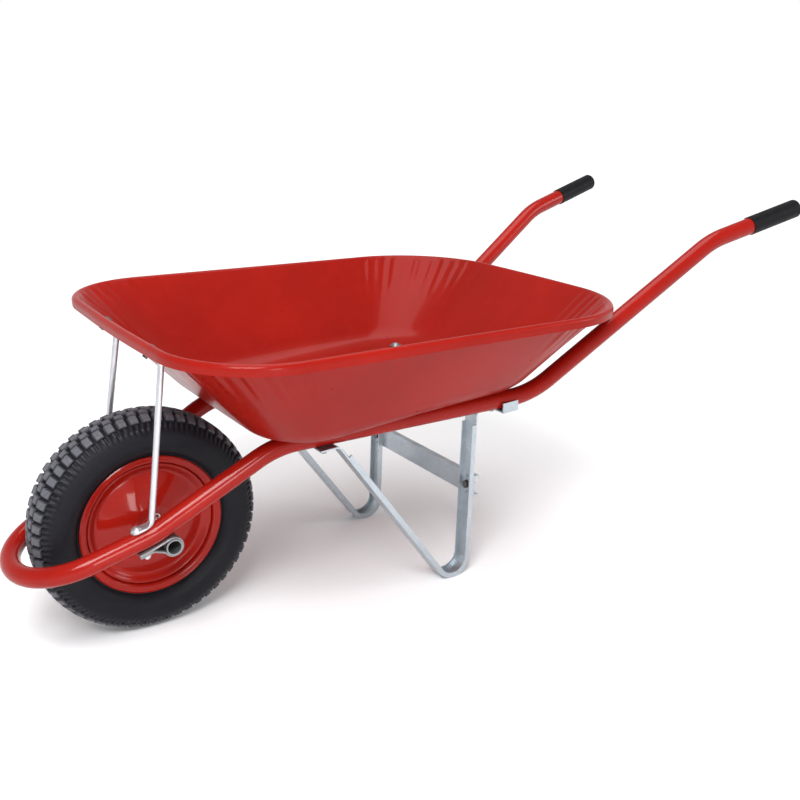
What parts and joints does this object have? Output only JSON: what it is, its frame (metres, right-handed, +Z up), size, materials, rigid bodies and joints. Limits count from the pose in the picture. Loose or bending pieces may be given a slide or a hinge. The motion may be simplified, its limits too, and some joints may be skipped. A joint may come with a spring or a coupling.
{
  "type": "wheelbarrow",
  "caption": "Builder's wheelbarrow: flared pressed steel tray on a bent tube frame with grips, a disc wheel with a pneumatic tyre on a fixed axle, and braced channel legs.",
  "frame": {"origin": "on the ground below the middle of the overall length", "axes": "+X from the wheel towards the grips, +Z up, the user's left is -Y"},
  "size_m": [1.3972, 0.6474, 0.6253],
  "materials": {
    "red_paint": "gloss red paint",
    "tyre": "matt black",
    "rubber": "matt black",
    "grip": "matt black",
    "black_plastic": "matt black",
    "bush_plastic": "satin off-white",
    "galvanised": "satin galvanised",
    "zinc": "bright zinc",
    "dark_zinc": "dark zinc"
  },
  "bodies": {
    "barrow": {"tray": "red_paint", "frame_tube": "red_paint", "left_grip": "grip", "right_grip": "grip", "left_strut": "zinc", "right_strut": "zinc", "strut_top_bolts": "dark_zinc", "strut_top_nuts": "dark_zinc", "left_axle_clip": "zinc", "right_axle_clip": "zinc", "clip_bolts": "zinc", "clip_nuts": "zinc", "axle_tube": "zinc", "axle_washers": "zinc", "cotter_pins": "zinc", "left_leg": "galvanised", "right_leg": "galvanised", "leg_brace": "galvanised", "brace_bolts": "dark_zinc", "brace_nuts": "dark_zinc", "leg_front_bolts": "zinc", "leg_front_nuts": "zinc", "rear_strap": "galvanised", "rear_bolts": "zinc", "rear_nuts": "zinc", "tray_washers": "zinc"},
    "wheel": {"tyre": "tyre", "inner_tube": "rubber", "valve_stem": "rubber", "valve_cap": "black_plastic", "rim_band": "red_paint", "left_rim_disc": "red_paint", "right_rim_disc": "red_paint", "hub_tube": "red_paint", "left_hub_bush": "bush_plastic", "right_hub_bush": "bush_plastic"}
  },
  "joints": [
    {"name": "wheel_spin", "type": "hinge", "parent": "barrow", "child": "wheel", "pos_m": [-0.47994, 0, 0.178], "axis": [0, 1, 0], "continuous": true}
  ]
}
